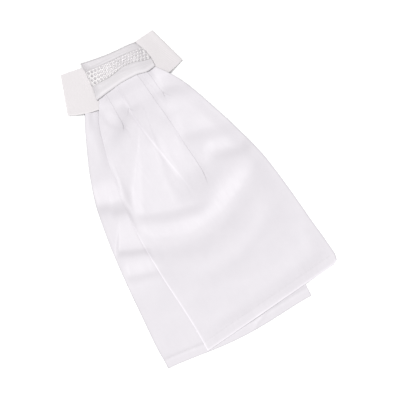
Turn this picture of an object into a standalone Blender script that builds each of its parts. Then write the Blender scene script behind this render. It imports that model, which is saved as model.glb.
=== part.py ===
"""Ready-tied riding stock (cravat), laid flat on a surface.

Frame: metres, +Z up.  The origin is at the middle of the footprint, on the
surface.  +Y runs up towards the neckband, the tails hang towards -Y.
Sizes in the tables are millimetres and are scaled once, when a mesh is made.
"""
import math
from collections import namedtuple

import bmesh
import bpy
from mathutils import Vector

for old in list(bpy.data.objects):
    bpy.data.objects.remove(old, do_unlink=True)

# ------------------------------------------------------------ sizes (mm)
MM = 0.001
GAP = 0.3                 # clearance between pieces that touch
TAIL_WALL = 1.2           # one layer of tail cloth
HEM = 10.6                # depth of the turned hem
HEM_EXTRA = 0.5           # how much thicker the hem is

BAND_WALL = 1.4           # neckband, two layers of cloth sewn together
BAND_X = -11.3            # middle of the neckband
BAND_Y = 129.2
BAND_HALF = 57.5          # from the middle to each folded end
BAND_RISE = 8.3           # how far the ends curve upwards
BAND_TILT = -0.0155       # the right end sits a little lower
BAND_SPLAY = 1.4          # the right fold leans this much more
BAND_FOLD_R = 1.0         # centre-line radius of the folded ends
BAND_UNDER_END = 47.0     # where each hidden return stops

KNOT_WALL = 1.2
KNOT_UNDER = 8.0          # width turned under at the lower edge
KNOT_ROLL_R = 0.85        # centre-line radius of the rolled lower edge
TRIM_WALL = 2.0           # backing strip with its stones

FRONT_X, FRONT_Y = -8.0, 120.0     # where the front tail swings from
FRONT_ANGLE = math.radians(7.5)    # it hangs this far to the right
FRONT_TOP, FRONT_HEM = -12.0, 267.0
PUFF = 1.1                # how far the middle of the front tail stands up

BandRow = namedtuple("BandRow", "k height")
BAND_ROWS = [BandRow(0.0, 43.0), BandRow(0.3, 43.4), BandRow(0.6, 45.2),
             BandRow(0.8, 44.2), BandRow(1.0, 41.6)]

# height of the middle of each stretch of the neckband's wall, by the
# distance from the band's middle
BandPath = namedtuple("BandPath", "along z")
BAND_FRONT = [BandPath(-51.0, 4.4), BandPath(-46.0, 6.0), BandPath(-40.0, 6.7),
              BandPath(-30.0, 6.9), BandPath(-18.0, 6.9), BandPath(-6.0, 6.9),
              BandPath(6.0, 6.9), BandPath(18.0, 6.9), BandPath(28.0, 6.9),
              BandPath(35.0, 6.7), BandPath(40.0, 6.0), BandPath(45.0, 5.0),
              BandPath(51.0, 3.8)]

BackRow = namedtuple("BackRow", "y left right")
BACK_ROWS = [BackRow(128, -47.5, 20.0), BackRow(120, -53.5, 24.0),
             BackRow(111, -59.0, 27.5), BackRow(99, -64.9, 33.0),
             BackRow(87, -69.8, 38.0), BackRow(75, -74.6, 42.5),
             BackRow(57, -81.4, 47.5), BackRow(39, -86.9, 52.0),
             BackRow(21, -91.2, 54.8), BackRow(0, -94.2, 57.0),
             BackRow(-25, -96.8, 58.8), BackRow(-57, -98.7, 60.2),
             BackRow(-93, -99.8, 61.0), BackRow(-129, -100.7, 61.2),
             BackRow(-153, -99.8, 60.6)]
BACK_HEM_Y = -153.0       # at the corners
BACK_HEM_BOW = 5.3        # how far the middle of the hem hangs lower

# front tail: q runs down the tail, the other columns are places across it;
# steps are how far each folded panel stands above its neighbour
FrontRow = namedtuple("FrontRow", "q left fold_d fold_a fold_b right "
                      "step_d step_a step_b")
FRONT_ROWS = [
    FrontRow(-12, -33.0, -22.5, -9.6, 13.2, 31.0, 0.3, 0.5, 0.4),
    FrontRow(0, -34.8, -23.0, -10.2, 13.8, 33.5, 0.8, 1.4, 1.0),
    FrontRow(10, -40.3, -23.6, -11.0, 14.4, 38.0, 1.2, 1.9, 1.4),
    FrontRow(20, -46.2, -25.0, -12.0, 14.4, 43.6, 1.1, 1.9, 1.4),
    FrontRow(32, -51.2, -25.0, -13.2, 14.4, 48.7, 0.7, 1.8, 1.3),
    FrontRow(45, -56.0, -26.0, -12.7, 14.7, 53.0, 0.2, 1.6, 1.2),
    FrontRow(60, -61.2, -28.0, -11.9, 14.7, 56.9, 0.0, 1.5, 1.0),
    FrontRow(80, -66.3, -31.0, -10.3, 14.1, 61.7, 0.0, 1.3, 0.8),
    FrontRow(100, -70.8, -33.0, -8.6, 14.0, 66.1, 0.0, 1.0, 0.6),
    FrontRow(120, -74.6, -34.0, -7.1, 13.3, 70.1, 0.0, 0.6, 0.3),
    FrontRow(140, -77.3, -35.0, -8.0, 12.5, 73.0, 0.0, 0.2, 0.0),
    FrontRow(165, -79.2, -36.0, -9.5, 11.0, 74.4, 0.0, 0.0, 0.0),
    FrontRow(190, -80.4, -36.5, -11.0, 9.5, 75.0, 0.0, 0.0, 0.0),
    FrontRow(215, -80.8, -37.0, -12.5, 7.5, 75.1, 0.0, 0.0, 0.0),
    FrontRow(240, -81.8, -38.0, -14.0, 5.0, 75.7, 0.0, 0.0, 0.0),
    FrontRow(259, -83.4, -39.0, -15.5, 3.5, 75.7, 0.0, 0.0, 0.0),
    FrontRow(267, -84.3, -39.5, -16.0, 3.0, 73.4, 0.0, 0.0, 0.0)]

# folds of the front tail: each bends from its start through its middle to
# its end; height is positive for a ridge and negative for a trough
Fold = namedtuple("Fold", "x0 y0 x1 y1 x2 y2 half_width height")
FRONT_FOLDS = [
    Fold(-66, -10, -5, -37, 55, -5, 6.5, 2.6),       # main swag
    Fold(-62, -38, 0, -56, 75, -12, 5.5, -1.1),      # hollow below it
    Fold(-34, -76, 18, -70, 68, -40, 7.0, 1.3),      # second swag
    Fold(-60, -2, -34, -14.5, -2, -24, 5.0, -1.1),   # hollow above it
    Fold(30, 33, 50, 25, 70, 16, 6.0, 1.1),          # side ridge
    Fold(20, 47, 40, 39, 60, 30, 6.0, -0.8),
    Fold(20, -4, 34, 9, 60, 11, 6.5, -1.0),
    Fold(82, -69, 69, -95, 54, -123, 8.0, 0.7)]

BACK_FOLDS = [
    Fold(-93, 10, -80, 0, -67, -12, 8.0, 0.9),
    Fold(-96, -12, -82, -19, -67, -26, 7.0, 0.7)]

# knot panel: places along it from its left end, and its two long edges
KnotRow = namedtuple("KnotRow", "u x_low y_low x_top y_top wrap")
KNOT_ROWS = [KnotRow(0.00, -42.0, 117.8, -40.2, 158.3, 1.0),
             KnotRow(0.25, -25.5, 120.2, -24.6, 155.7, 1.0),
             KnotRow(0.50, -8.5, 122.4, -9.0, 154.0, 1.0),
             KnotRow(0.70, 4.5, 122.6, 2.8, 153.5, 0.7),
             KnotRow(0.86, 15.8, 120.6, 12.0, 153.2, 0.0),
             KnotRow(1.00, 25.3, 122.0, 18.8, 152.2, 0.0)]
KNOT_BULGE_LEFT, KNOT_BULGE_RIGHT = 1.8, 2.6
# across the panel from its lower roll (0) to its upper edge (1): how far
# its folds stand up
KnotPleat = namedtuple("KnotPleat", "w rise")
KNOT_PLEATS = [KnotPleat(0.02, 0.3), KnotPleat(0.08, 0.9), KnotPleat(0.14, 0.8),
               KnotPleat(0.19, 0.2), KnotPleat(0.24, 0.0), KnotPleat(0.74, 0.0),
               KnotPleat(0.77, 0.7), KnotPleat(0.84, 0.9), KnotPleat(0.91, 0.6),
               KnotPleat(0.96, -0.2)]
KNOT_FACE_Z = 12.9        # middle of the wall, over the tail tops
KNOT_SIDE_Z = 10.4        # and at the two ends, above the strip's width

TrimRow = namedtuple("TrimRow", "u w_low w_high")
TRIM_ROWS = [TrimRow(0.0, 0.36, 0.735), TrimRow(0.3, 0.36, 0.735),
             TrimRow(0.6, 0.44, 0.735), TrimRow(0.8, 0.40, 0.735),
             TrimRow(1.0, 0.30, 0.735)]


# ------------------------------------------------------------ helpers
def ease(t):
    t = min(1.0, max(0.0, t))
    return t * t * (3.0 - 2.0 * t)


def at(rows, key, column, value):
    """Smooth value of a column between the table's rows."""
    rows = sorted(rows, key=lambda r: getattr(r, key))
    xs = [getattr(r, key) for r in rows]
    ys = [getattr(r, column) for r in rows]
    if value <= xs[0]:
        return ys[0]
    if value >= xs[-1]:
        return ys[-1]
    i = max(j for j in range(len(xs) - 1) if xs[j] <= value)

    def slope(j):
        if j == 0:
            return (ys[1] - ys[0]) / (xs[1] - xs[0])
        if j == len(xs) - 1:
            return (ys[-1] - ys[-2]) / (xs[-1] - xs[-2])
        a = (ys[j] - ys[j - 1]) / (xs[j] - xs[j - 1])
        b = (ys[j + 1] - ys[j]) / (xs[j + 1] - xs[j])
        return 0.0 if a * b <= 0 else 2 * a * b / (a + b)
    h = xs[i + 1] - xs[i]
    t = (value - xs[i]) / h
    return ((1 + 2 * t) * (1 - t) ** 2 * ys[i] + t * (1 - t) ** 2 * h * slope(i)
            + t * t * (3 - 2 * t) * ys[i + 1] + t * t * (t - 1) * h * slope(i + 1))


def fold_height(folds, x, y):
    total = 0.0
    for f in folds:
        cx, cy = 2 * f.x1 - (f.x0 + f.x2) / 2, 2 * f.y1 - (f.y0 + f.y2) / 2
        best, where = 1e9, 0.0
        for n in range(33):
            t = n / 32
            bx = (1 - t) ** 2 * f.x0 + 2 * t * (1 - t) * cx + t * t * f.x2
            by = (1 - t) ** 2 * f.y0 + 2 * t * (1 - t) * cy + t * t * f.y2
            d = (x - bx) ** 2 + (y - by) ** 2
            if d < best:
                best, where = d, t
        fade = ease(min(where, 1 - where) / 0.22 + 0.15)
        total += f.height * fade * math.exp(-best / f.half_width ** 2)
    return total


def new_material(name, colour, roughness, metallic=0.0):
    mat = bpy.data.materials.new(name)
    mat.use_nodes = True
    shader = mat.node_tree.nodes["Principled BSDF"]
    shader.inputs["Base Color"].default_value = (*colour, 1.0)
    shader.inputs["Roughness"].default_value = roughness
    shader.inputs["Metallic"].default_value = metallic
    return mat


def closed_wall(name, upper, lower, material):
    """Two equal grids of points joined round their borders into one wall."""
    bm = bmesh.new()
    top = [[bm.verts.new(Vector(p) * MM) for p in row] for row in upper]
    low = [[bm.verts.new(Vector(p) * MM) for p in row] for row in lower]
    rows, cols = len(top), len(top[0])
    for i in range(rows - 1):
        for j in range(cols - 1):
            bm.faces.new((top[i][j], top[i][j + 1], top[i + 1][j + 1], top[i + 1][j]))
            bm.faces.new((low[i][j], low[i + 1][j], low[i + 1][j + 1], low[i][j + 1]))
    for i in range(rows - 1):
        for j in (0, cols - 1):
            bm.faces.new((top[i][j], top[i + 1][j], low[i + 1][j], low[i][j]))
    for j in range(cols - 1):
        for i in (0, rows - 1):
            bm.faces.new((top[i][j], top[i][j + 1], low[i][j + 1], low[i][j]))
    bmesh.ops.recalc_face_normals(bm, faces=bm.faces)
    mesh = bpy.data.meshes.new(name)
    bm.to_mesh(mesh)
    bm.free()
    mesh.materials.append(material)
    obj = bpy.data.objects.new(name, mesh)
    bpy.context.scene.collection.objects.link(obj)
    mesh.shade_smooth()
    mesh.set_sharp_from_angle(angle=math.radians(40))
    return obj


def offset_path(points, distance):
    """Move a path of (along, z) points sideways, to its left when positive."""
    moved = []
    for i, (a, z) in enumerate(points):
        p = points[max(0, i - 1)]
        n = points[min(len(points) - 1, i + 1)]
        d1 = Vector((a - p[0], z - p[1]))
        d2 = Vector((n[0] - a, n[1] - z))
        if d1.length < 1e-9:
            d1 = d2
        if d2.length < 1e-9:
            d2 = d1
        d1.normalize()
        d2.normalize()
        mean = (d1 + d2).normalized()
        scale = distance / max(0.5, mean.dot(d1))
        moved.append((a - mean.y * scale, z + mean.x * scale))
    return moved


# ------------------------------------------------------------ neckband
def band_frame(along):
    k = along / BAND_HALF
    y = BAND_Y + BAND_RISE * k * k + BAND_TILT * (along + BAND_HALF)
    slope = 2 * BAND_RISE * k / BAND_HALF + BAND_TILT
    normal = Vector((-slope, 1.0)).normalized()
    half = at(BAND_ROWS, "k", "height", abs(k)) / 2
    if k > 0:
        normal = normal + Vector((-BAND_SPLAY * k ** 5 / half, 0.0))
    return Vector((BAND_X + along, y)), normal, half


def band_edge_y(x, side):
    """Height on the page of the band's lower (-1) or upper (+1) edge at x."""
    along = max(-BAND_HALF, min(BAND_HALF, x - BAND_X))
    for _ in range(8):
        centre, normal, half = band_frame(along)
        along += x - (centre.x + normal.x * half * side)
        along = max(-BAND_HALF, min(BAND_HALF, along))
    centre, normal, half = band_frame(along)
    return centre.y + normal.y * half * side


def band_path():
    turn = BAND_HALF - BAND_WALL / 2 - BAND_FOLD_R
    floor_z = BAND_WALL / 2
    second_z = floor_z + BAND_WALL + GAP
    path = [(BAND_UNDER_END, second_z), (20.0, second_z), (-16.0, second_z),
            (-BAND_UNDER_END, second_z), (-BAND_UNDER_END - 3.5, 1.6),
            (-turn + 1.0, floor_z)]
    for n in range(7):                       # left folded end
        a = math.radians(-90 - 30 * n)
        path.append((-turn + BAND_FOLD_R * math.cos(a),
                     floor_z + BAND_FOLD_R * (1 + math.sin(a))))
    path += [(p.along, p.z) for p in BAND_FRONT]
    for n in range(7):                       # right folded end
        a = math.radians(90 - 30 * n)
        path.append((turn + BAND_FOLD_R * math.cos(a),
                     floor_z + BAND_FOLD_R * (1 + math.sin(a))))
    path += [(45.0, floor_z), (12.0, floor_z), (-20.0, floor_z),
             (-BAND_UNDER_END + 1.0, floor_z)]
    return path


def make_neckband(material):
    path = band_path()
    grids = []
    for distance in (BAND_WALL / 2, -BAND_WALL / 2):
        grid = []
        for side in (-1.0, 0.0, 1.0):
            row = []
            for along, z in offset_path(path, distance):
                centre, normal, half = band_frame(along)
                row.append((centre.x + normal.x * half * side,
                            centre.y + normal.y * half * side, z))
            grid.append(row)
        grids.append(grid)
    return closed_wall("neckband", grids[0], grids[1], material)


# ------------------------------------------------------------ back tail
def below_band(x, y):
    """Distance that a point lies below the neckband's lower edge."""
    return band_edge_y(x, -1.0) - y


def back_hem_y(x):
    t = (x + 19.0) / 81.0
    return BACK_HEM_Y - BACK_HEM_BOW * max(0.0, 1 - t * t) ** 2


def back_bottom(x, y):
    over = 2 * (BAND_WALL + GAP)
    return over * ease(1 - (below_band(x, y) - 1.2) / 10.0)


def back_top(x, y):
    left = at(BACK_ROWS, "y", "left", y)
    right = at(BACK_ROWS, "y", "right", y)
    across = (x - left) / (right - left)
    gathered = 1.1 * ease(1 - (below_band(x, y) - 1.2) / 10.0)
    gathered *= ease(min(across, 1 - across) / 0.2)
    hem = HEM_EXTRA if y < back_hem_y(x) + HEM - 0.05 else 0.0
    clear = ease((front_left_x(y) - 2.0 - x) / 5.0)
    folds = max(0.0, fold_height(BACK_FOLDS, x, y)) * clear
    return back_bottom(x, y) + TAIL_WALL + gathered + hem + folds


def front_left_x(y):
    q = FRONT_Y - y
    for _ in range(5):
        p = at(FRONT_ROWS, "q", "left", q)
        x, yy = front_xy(p, q)
        q += yy - y
    return x


def front_xy(p, q):
    c, s = math.cos(FRONT_ANGLE), math.sin(FRONT_ANGLE)
    return FRONT_X + p * c + q * s, FRONT_Y + p * s - q * c


def make_back_tail(material):
    across = [0, .035, .08, .13, .19, .26, .36, .48, .62, .76, .88, 1]
    ys = [128, 121, 115, 111, 108.5, 106, 103.5, 101, 98.5, 96, 93, 88, 80, 70,
          60, 50, 40, 31, 23, 16, 9, 2, -5, -12, -19, -26, -33, -42, -56, -72,
          -90, -108, -126]
    upper, lower = [], []
    for n in range(len(ys) + 4):
        top_row, low_row = [], []
        for a in across:
            if n < len(ys):
                y = ys[n]
                x = at(BACK_ROWS, "y", "left", y)
                x += a * (at(BACK_ROWS, "y", "right", y) - x)
            else:
                y = BACK_HEM_Y
                x = at(BACK_ROWS, "y", "left", y)
                x += a * (at(BACK_ROWS, "y", "right", y) - x)
                y = back_hem_y(x) + (HEM + 4.0, HEM + 0.3, HEM - 0.3, 0.0)[n - len(ys)]
            low_row.append((x, y, back_bottom(x, y)))
            top_row.append((x, y, back_top(x, y)))
        upper.append(top_row)
        lower.append(low_row)
    return closed_wall("back_tail", upper, lower, material)


# ------------------------------------------------------------ front tail
def beside_back(q):
    """Where, across the front tail, the back tail's right edge lies."""
    p = 45.0
    for _ in range(6):
        x, y = front_xy(p, q)
        p += at(BACK_ROWS, "y", "right", y) + 1.0 - x
    return p


def front_bottom(x, y, p, q):
    over_band = ease(1 - (below_band(x, y) - 1.2) / 12.0)
    on_tail = TAIL_WALL + GAP + HEM_EXTRA * ease((-137.0 - y) / 4.0)
    beside = beside_back(q)
    off_tail = ease((p - beside) / 9.0) * (1 - over_band)
    base = on_tail * (1 - off_tail) + (8.0 - on_tail) * over_band
    left = at(FRONT_ROWS, "q", "left", q)
    right = at(FRONT_ROWS, "q", "right", q)
    inside = ease((p - left) / 14.0) * ease((right - p) / 14.0)
    inside *= ease((FRONT_HEM - q) / 22.0) * ease((q - 18.0) / 40.0)
    lift = PUFF * inside + fold_height(FRONT_FOLDS, x, y) * (0.25 + 0.75 * inside)
    return base + max(0.0, lift)


def front_columns(q):
    """Places across the tail at q, each with its extra height."""
    row = {c: at(FRONT_ROWS, "q", c, q) for c in FrontRow._fields if c != "q"}

    def pair(fold, step):
        wide = 0.45 + 2.2 * ease(1 - step / 0.7)
        return fold - wide, fold + wide
    d0, d1 = pair(row["fold_d"], row["step_d"])
    a0, a1 = pair(row["fold_a"], row["step_a"])
    b0, b1 = pair(row["fold_b"], row["step_b"])
    side = max(min(beside_back(q), row["right"] - 4.0), b1 + 8.0)
    spans = [(row["left"], d0, 5, row["step_d"]), (d1, a0, 2, 0.0),
             (a1, b0, 3, row["step_a"]), (b1, side, 4, row["step_a"] - row["step_b"]),
             (side, row["right"], 4, row["step_a"] - row["step_b"])]
    places = []
    for start, stop, count, extra in spans:
        first = 0 if start != side else 1
        for n in range(first, count + 1):
            p = start + (stop - start) * n / count
            fade = 1.0
            if start in (b1, side):
                fade = ease((row["right"] - p) / 12.0)
            if start == row["left"]:
                fade = ease((p - row["left"]) / 6.0 + 0.2)
            places.append((p, max(0.0, extra) * fade))
    return places


def make_front_tail(material):
    qs = [FRONT_TOP, -6, 0, 5, 10, 15, 20, 25, 30, 36, 42, 49, 56, 64, 72, 80,
          88, 96, 103, 110, 117, 124, 131, 137, 143, 149, 155, 161, 167, 174,
          181, 188, 196, 204, 213, 222, 231, 240, 249,
          FRONT_HEM - HEM - 0.3, FRONT_HEM - HEM + 0.3, FRONT_HEM]
    upper, lower = [], []
    for q in qs:
        top_row, low_row = [], []
        for p, extra in front_columns(q):
            x, y = front_xy(p, q)
            z = front_bottom(x, y, p, q)
            hem = HEM_EXTRA if q > FRONT_HEM - HEM else 0.0
            low_row.append((x, y, z))
            top_row.append((x, y, z + TAIL_WALL + extra + hem))
        upper.append(top_row)
        lower.append(low_row)
    return closed_wall("front_tail", upper, lower, material)


# ------------------------------------------------------------ knot
def knot_point(u, w):
    """Place on the page of the panel's point, u along it and w across it."""
    row = {c: at(KNOT_ROWS, "u", c, u) for c in KnotRow._fields if c != "u"}
    bulge = 4 * w * (1 - w) * (KNOT_BULGE_LEFT * (1 - u) + KNOT_BULGE_RIGHT * u)
    x = row["x_low"] + (row["x_top"] - row["x_low"]) * w + bulge
    y = row["y_low"] + (row["y_top"] - row["y_low"]) * w
    return x, y


def knot_end(u):
    """0 at the two ends of the panel, 1 over most of its length."""
    t = min(1.0, min(u, 1 - u) / 0.1)
    return math.sqrt(max(0.0, 1 - (1 - t) ** 2))


def knot_face_z(u, w):
    low = KNOT_SIDE_Z + 1.6 * ease(1 - (w - 0.12) / 0.12)
    base = low + (KNOT_FACE_Z - low) * knot_end(u)
    return base + at(KNOT_PLEATS, "w", "rise", w) * (0.3 + 0.7 * knot_end(u))


def knot_path(u):
    """The wall's middle line at u, as (w in mm from the lower edge, z)."""
    (x0, y0), (x1, y1) = knot_point(u, 0.0), knot_point(u, 1.0)
    long = math.hypot(x1 - x0, y1 - y0)
    first = knot_face_z(u, 0.02)
    centre = KNOT_WALL / 2 + KNOT_ROLL_R
    under_z = first - 2 * KNOT_ROLL_R
    path = [(KNOT_UNDER, under_z), (centre + 2.5, under_z)]
    for n in range(6):
        a = math.radians(-90 - 36 * n)
        path.append((centre + KNOT_ROLL_R * math.cos(a),
                     under_z + KNOT_ROLL_R * (1 + math.sin(a))))
    for w in (.08, .14, .19, .24, .36, .48, .60, .735, .77, .84, .90):
        path.append((w * long, knot_face_z(u, w)))
    wrap = at(KNOT_ROWS, "u", "wrap", u)
    edge = long - KNOT_WALL / 2
    top_z = knot_face_z(u, 0.90)
    stop_z = 8.7 - 4.7 * wrap
    for turn, drop in ((30, 0.12), (55, 0.35), (80, 0.65)):
        path.append((edge - 2.2 * (1 - math.sin(math.radians(turn))),
                     top_z + (stop_z - top_z) * drop * 0.6))
    path.append((edge, stop_z + 0.8))
    path.append((edge, stop_z))
    return path, long


KNOT_U = [0, .02, .05, .09, .15, .23, .32, .41, .50, .60, .70, .78, .86, .91,
          .95, .98, 1]


def make_knot(material):
    grids = []
    for distance in (KNOT_WALL / 2, -KNOT_WALL / 2):
        grid = []
        for u in KNOT_U:
            path, long = knot_path(u)
            grid.append([(*knot_point(u, a / long), z)
                         for a, z in offset_path(path, -distance)])
        grids.append(grid)
    return closed_wall("knot", grids[0], grids[1], material)


def make_trim(material):
    upper, lower = [], []
    for u in KNOT_U:
        w0, w1 = at(TRIM_ROWS, "u", "w_low", u), at(TRIM_ROWS, "u", "w_high", u)
        top_row, low_row = [], []
        for n in range(5):
            w = w0 + (w1 - w0) * n / 4
            x, y = knot_point(u, w)
            z = knot_face_z(u, w) + KNOT_WALL / 2 + GAP + 0.15
            lean = 0.9 * (1 - knot_end(u)) * (-1 if u < 0.5 else 1)
            low_row.append((x, y, z))
            top_row.append((x + lean, y, z + TRIM_WALL * (0.6 + 0.4 * knot_end(u))))
        upper.append(top_row)
        lower.append(low_row)
    return closed_wall("crystal_trim", upper, lower, material)


# ------------------------------------------------------------ the object
satin = new_material("satin_white", (0.86, 0.85, 0.87), 0.38)
satin_back = new_material("satin_white_back", (0.84, 0.83, 0.85), 0.40)
satin_knot = new_material("satin_white_knot", (0.87, 0.86, 0.88), 0.36)
cotton = new_material("cotton_white", (0.82, 0.80, 0.80), 0.75)
stones = new_material("crystal_mesh", (0.80, 0.81, 0.84), 0.15, 0.6)

make_neckband(cotton)
make_back_tail(satin_back)
make_front_tail(satin)
make_knot(satin_knot)
make_trim(stones)
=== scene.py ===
import math
from collections import namedtuple

import bpy
import numpy as np
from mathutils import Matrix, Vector


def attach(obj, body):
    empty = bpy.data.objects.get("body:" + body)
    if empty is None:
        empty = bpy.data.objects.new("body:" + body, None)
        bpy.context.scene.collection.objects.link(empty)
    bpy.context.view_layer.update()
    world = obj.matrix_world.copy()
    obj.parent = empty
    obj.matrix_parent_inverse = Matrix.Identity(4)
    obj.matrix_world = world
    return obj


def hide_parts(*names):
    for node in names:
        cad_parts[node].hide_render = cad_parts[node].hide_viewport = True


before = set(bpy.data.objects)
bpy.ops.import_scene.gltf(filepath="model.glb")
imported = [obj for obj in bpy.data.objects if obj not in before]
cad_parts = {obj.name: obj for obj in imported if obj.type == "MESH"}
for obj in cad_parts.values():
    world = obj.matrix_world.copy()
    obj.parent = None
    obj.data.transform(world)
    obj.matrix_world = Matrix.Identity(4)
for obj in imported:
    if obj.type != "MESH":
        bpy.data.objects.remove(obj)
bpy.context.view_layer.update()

# The cravat lies flat on the floor, seen from straight above.  The tables are
# in millimetres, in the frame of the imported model: +Y towards the neckband.
MM = 0.001

# ------------------------------------------------------------------ sizes
CLOTH = 0.30              # one layer of satin as it shows
PITCH = 0.32              # from one folded layer to the next
HEM = 10.6
BAND_WALL = 0.7
BAND_X, BAND_Y, BAND_HALF = -11.3, 129.2, 57.5
BAND_RISE, BAND_TILT, BAND_SPLAY = 8.3, -0.0155, 1.4
BAND_FOLD_R, BAND_UNDER_END = 0.75, 47.0
KNOT_WALL, KNOT_UNDER, KNOT_ROLL_R = 0.5, 8.0, 0.26
FRONT_X, FRONT_Y, FRONT_ANGLE = -8.0, 120.0, math.radians(7.5)
FRONT_TOP, FRONT_HEM = -12.0, 266.7
BACK_HEM_Y, BACK_HEM_BOW = -153.0, 5.3
CAD_TAIL_WALL, GAP = 1.2, 0.3

BandRow = namedtuple("BandRow", "k height")
BAND_ROWS = [BandRow(0.0, 43.0), BandRow(0.3, 43.4), BandRow(0.6, 45.2),
             BandRow(0.8, 44.2), BandRow(1.0, 41.6)]
BandPath = namedtuple("BandPath", "along z")
BAND_FRONT = [BandPath(-51.0, 2.2), BandPath(-46.0, 2.9), BandPath(-40.0, 3.8),
              BandPath(-30.0, 5.1), BandPath(-18.0, 6.1), BandPath(-6.0, 6.5),
              BandPath(6.0, 6.5), BandPath(18.0, 6.4), BandPath(28.0, 6.0),
              BandPath(35.0, 5.2), BandPath(40.0, 4.2), BandPath(45.0, 3.1),
              BandPath(51.0, 2.0)]

BackRow = namedtuple("BackRow", "y left right")
BACK_ROWS = [BackRow(128, -47.5, 20.0), BackRow(120, -53.5, 24.0),
             BackRow(111, -59.0, 27.5), BackRow(99, -64.9, 33.0),
             BackRow(87, -69.8, 38.0), BackRow(75, -74.6, 42.5),
             BackRow(57, -81.4, 47.5), BackRow(39, -86.9, 52.0),
             BackRow(21, -91.2, 54.8), BackRow(0, -94.2, 57.0),
             BackRow(-25, -96.8, 58.8), BackRow(-57, -98.7, 60.2),
             BackRow(-93, -99.8, 61.0), BackRow(-129, -100.7, 61.2),
             BackRow(-153, -99.8, 60.6)]

# front tail: q runs down it; fold lines d, a, b, c and the depth of cloth
# folded under each of them
FrontRow = namedtuple("FrontRow", "q left d a b c right "
                      "depth_d depth_a depth_b depth_c")
FRONT_ROWS = [
    FrontRow(-12, -28.0, -22.5, -9.6, 13.2, 20.0, 25.0, 8.5, 10.8, 10.8, 6.5),
    FrontRow(0, -32.8, -23.0, -10.2, 13.8, 23.0, 32.0, 8.8, 11.2, 11.2, 6.8),
    FrontRow(10, -40.1, -23.6, -10.8, 14.4, 24.6, 38.0, 8.6, 11.4, 11.4, 6.6),
    FrontRow(20, -46.2, -24.6, -11.8, 14.4, 24.4, 43.6, 7.4, 4.0, 11.0, 5.2),
    FrontRow(32, -51.2, -25.6, -12.9, 14.4, 25.6, 48.7, 2.8, 0.0, 10.6, 2.0),
    FrontRow(45, -56.0, -28.0, -12.6, 14.7, 29.0, 53.0, 0.0, 0.0, 8.6, 0.0),
    FrontRow(60, -61.2, -31.0, -11.9, 14.7, 32.0, 56.9, 0.0, 0.0, 8.4, 0.0),
    FrontRow(80, -66.3, -33.0, -10.3, 14.1, 34.0, 61.7, 0.0, 0.0, 6.8, 0.0),
    FrontRow(100, -70.8, -34.5, -8.6, 14.0, 35.0, 66.1, 0.0, 0.0, 4.9, 0.0),
    FrontRow(120, -74.6, -35.5, -7.1, 13.3, 35.5, 70.1, 0.0, 0.0, 2.4, 0.0),
    FrontRow(140, -77.3, -36.5, -8.0, 12.5, 36.0, 73.0, 0.0, 0.0, 0.0, 0.0),
    FrontRow(165, -79.2, -37.5, -9.5, 11.5, 36.0, 74.4, 0.0, 0.0, 0.0, 0.0),
    FrontRow(190, -80.4, -38.5, -11.0, 10.5, 35.0, 75.0, 0.0, 0.0, 0.0, 0.0),
    FrontRow(215, -80.8, -39.0, -12.5, 9.5, 34.0, 75.1, 0.0, 0.0, 0.0, 0.0),
    FrontRow(240, -81.8, -40.0, -14.0, 8.5, 33.0, 75.7, 0.0, 0.0, 0.0, 0.0),
    FrontRow(259, -83.4, -41.0, -15.5, 7.5, 32.0, 75.7, 0.0, 0.0, 0.0, 0.0),
    FrontRow(267, -84.3, -41.5, -16.0, 7.0, 31.5, 73.6, 0.0, 0.0, 0.0, 0.0)]

# creases: each bends from its start through its middle to its end.  up and
# down are its half widths on the neckband's side and on the hem's side, and
# height is positive for a ridge and negative for a trough
Crease = namedtuple("Crease", "x0 y0 x1 y1 x2 y2 up down height")
FRONT_CREASES = [
    # the great swag under the box pleat, with the hollow above it
    Crease(-76, -10, -6, -43, 84, -2, 13.0, 44.0, 2.6),
    Crease(-76, -17, -8, -48, 80, -4, 30.0, 13.0, 1.3),
    Crease(-62, 3, -30, -10.5, 18, -20, 50.0, 10.5, 2.7),
    # second, lower swag and the faint ones beside the right edge
    Crease(-38, -82, 20, -82, 72, -48, 10.0, 12.0, 0.7),
    Crease(20, -105, 44, -90, 64, -74, 8.0, 12.0, 0.3),
    Crease(98, -66, 87, -94, 74, -126, 10.0, 14.0, 0.6),
    # the cloth falls away below the small pleat panels
    Crease(-34, 113, -24, 112.5, -15, 113, 34.0, 15.0, 1.2),
    Crease(8, 98, 14, 97.4, 20, 97, 9.0, 1.5, 0.12),
    # left panel: the pocket runs out as a soft diagonal hollow
    Crease(-26, 95, -46, 82, -66, 69, 36.0, 10.0, 1.2),
    # right side: ridges and hollows that run out to the edge
    Crease(18, 102, 34, 99, 54, 91, 14.0, 8.0, 1.1),
    Crease(8, 88, 26, 87, 56, 79, 7.0, 8.0, -0.4),
    Crease(7, 73, 26, 72, 70, 62, 9.0, 22.0, 0.4),
    Crease(14, 52, 42, 46, 96, 32, 22.0, 11.0, 2.1),
    Crease(-14, 17, 28, 17, 104, 24, 60.0, 24.0, 3.2),
    Crease(32, 22.5, 54, 17, 76, 11, 9.0, 8.0, 1.4),
    # the pleat's edges run on below the folds as soft ridges
    Crease(-16.6, 103, -15.6, 80, -10.7, 52, 12.0, 1.8, 0.14),
    Crease(-10.7, 56, -8, 34, -1, -8, 10.0, 2.2, 0.20),
    Crease(-14, 50, -10, 18, -5, -12, 8.0, 6.0, 0.6),
    Crease(-15, 73, -9, 71, -2, 70, 9.0, 14.0, 0.3),
    # the cloth falls to the hem
    Crease(-30, -130, 30, -131, 78, -125, 24.0, 8.0, 0.7),
    Crease(-50, -98, -30, -106, -6, -118, 9.0, 9.0, 0.25)]

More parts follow.
